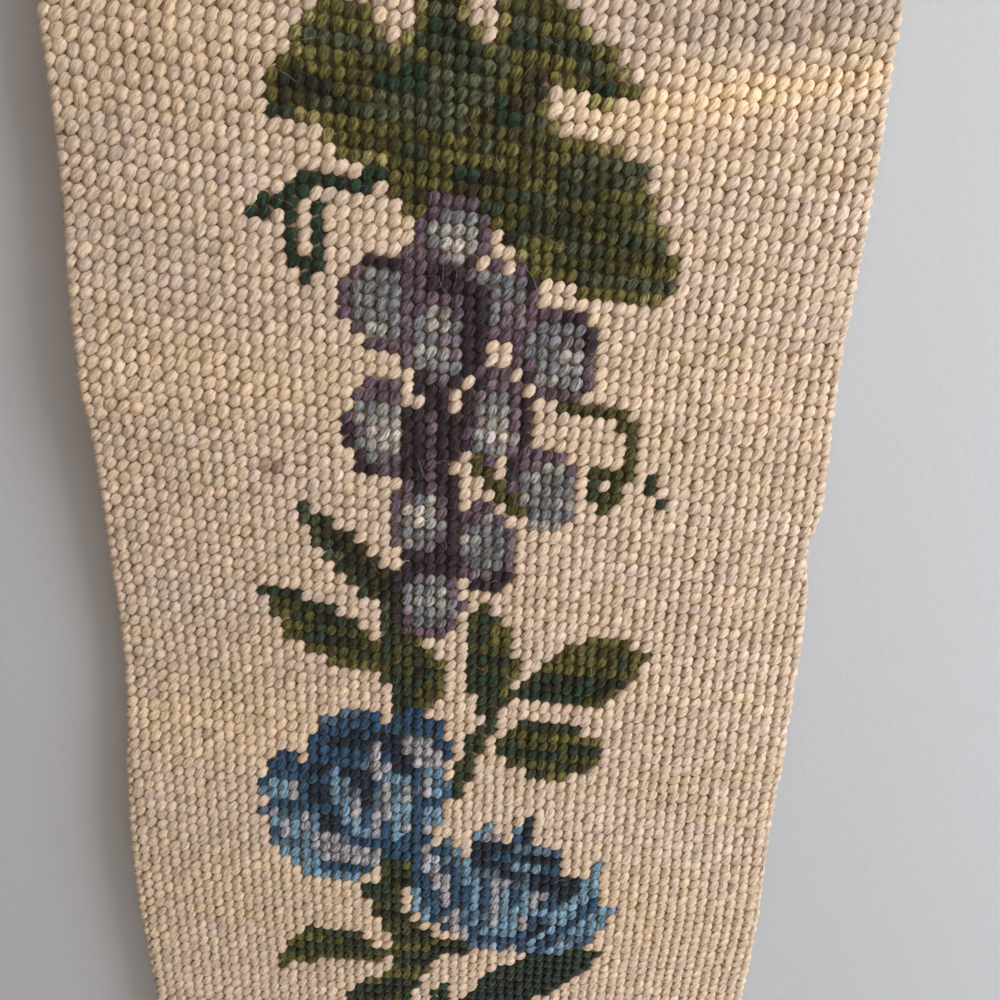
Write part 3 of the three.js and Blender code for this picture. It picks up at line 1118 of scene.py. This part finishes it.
# Each family's wool: how deep the painted shade between its fibres goes, how bright the painted highlight on
# them, then its sheen
wools = {
    "ground": wool_material("ground_wool", fibres, 0.7, 1.12, 0.25),
    "green": wool_material("green_wool", fibres, 0.36, 1.42, 0.1),
    "grape": wool_material("grape_wool", fibres, 0.42, 1.4, 0.12),
    "blue": wool_material("blue_wool", fibres, 0.42, 1.4, 0.1),
}

stitch_pieces = {**wool_front(), **wool_back()}
for piece_name, piece in stitch_pieces.items():
    family = piece_name.split("_")[0]
    dress(piece, wools[family])

canvas, flat_size = sheet_of_canvas()
tint_canvas(canvas)
dress(canvas, canvas_material())
threads = hem_threads()
dress(threads, thread_material("canvas_thread", (0.62, 0.5, 0.34), 2500))
sewing = hem_sewing()
dress(sewing, thread_material("sewing_thread", (0.66, 0.56, 0.42), 3000))
hairs = loose_fibres()
dress(hairs, thread_material("loose_fibre", (0.55, 0.51, 0.46), 900))

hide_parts("panel")

# The wall behind and the floor below
WALL_GAP = 13.0
FLOOR_DROP = 90.0


def backdrop(name, spot, tip, material):
    """A square of 3 m with its middle at a spot, tipped about X."""
    bpy.ops.mesh.primitive_plane_add(size=3.0, location=[at * MM for at in spot], rotation=(tip, 0, 0))
    made = bpy.context.object
    made.name = name
    made.data.materials.append(material)
    return made


bpy.ops.object.select_all(action="DESELECT")
wall = backdrop("wall", (0, WALL_GAP, 0), math.pi / 2, wall_material())
floor = backdrop("floor", (0, 0, -(LENGTH + FLOOR_DROP)), 0, floor_material())


def area_light(name, spot, aim, size, power, colour):
    """A soft light of a width and a height at a spot, turned to an aim, all in mm."""
    light = bpy.data.lights.new(name, "AREA")
    light.shape = "RECTANGLE"
    light.size, light.size_y = size[0] * MM, size[1] * MM
    light.energy = power
    light.color = colour
    holder = add_object(name, light)
    holder.location = Vector(spot) * MM
    holder.rotation_euler = (Vector(aim) - Vector(spot)).to_track_quat("-Z", "Y").to_euler()


PANEL_MIDDLE = (0, 0, -140)
area_light("window", (990, -1080, 900), PANEL_MIDDLE, (800, 800), 9.0, (1.0, 0.97, 0.94))
area_light("side_window", (410, -310, 20), (0, 0, -110), (260, 620), 2.45, (1.0, 0.97, 0.94))
area_light("fill", (-250, -850, 0), PANEL_MIDDLE, (700, 700), 1.0, (1.0, 0.66, 0.44))
area_light("back_fill", (400, 900, 200), PANEL_MIDDLE, (700, 700), 3.6, (1.0, 0.94, 0.86))

world = bpy.data.worlds.new("room")
world.use_nodes = True
background = world.node_tree.nodes["Background"]
feed(world.node_tree, background, {"Color": (1.0, 0.78, 0.58, 1), "Strength": 0.15})
bpy.context.scene.world = world
bpy.context.scene.view_settings.view_transform = "Standard"

# The camera stands close, a little above the middle of what it sees, and looks down on the panel
CAMERA_SPOT = (3.9, -159.1, -75.9)
CAMERA_RIGHTWARDS = 1.4
CAMERA_DOWNWARDS = 16.5
CAMERA_ROLL = 2.2
FOCAL_PIXELS = 752.0
IMAGE_PIXELS = 1000.0


def set_camera():
    data = bpy.data.cameras.new("camera")
    data.sensor_width = 36.0
    data.lens = FOCAL_PIXELS / IMAGE_PIXELS * data.sensor_width
    data.clip_start = 0.01
    camera = add_object("camera", data)
    yaw, pitch, roll = (math.radians(a) for a in (CAMERA_RIGHTWARDS, CAMERA_DOWNWARDS, CAMERA_ROLL))
    turn = Matrix.Rotation(-yaw, 4, "Z") @ Matrix.Rotation(math.pi / 2 - pitch, 4, "X")
    camera.matrix_world = Matrix.Translation(Vector(CAMERA_SPOT) * MM) @ turn @ Matrix.Rotation(roll, 4, "Z")
    bpy.context.scene.camera = camera


set_camera()
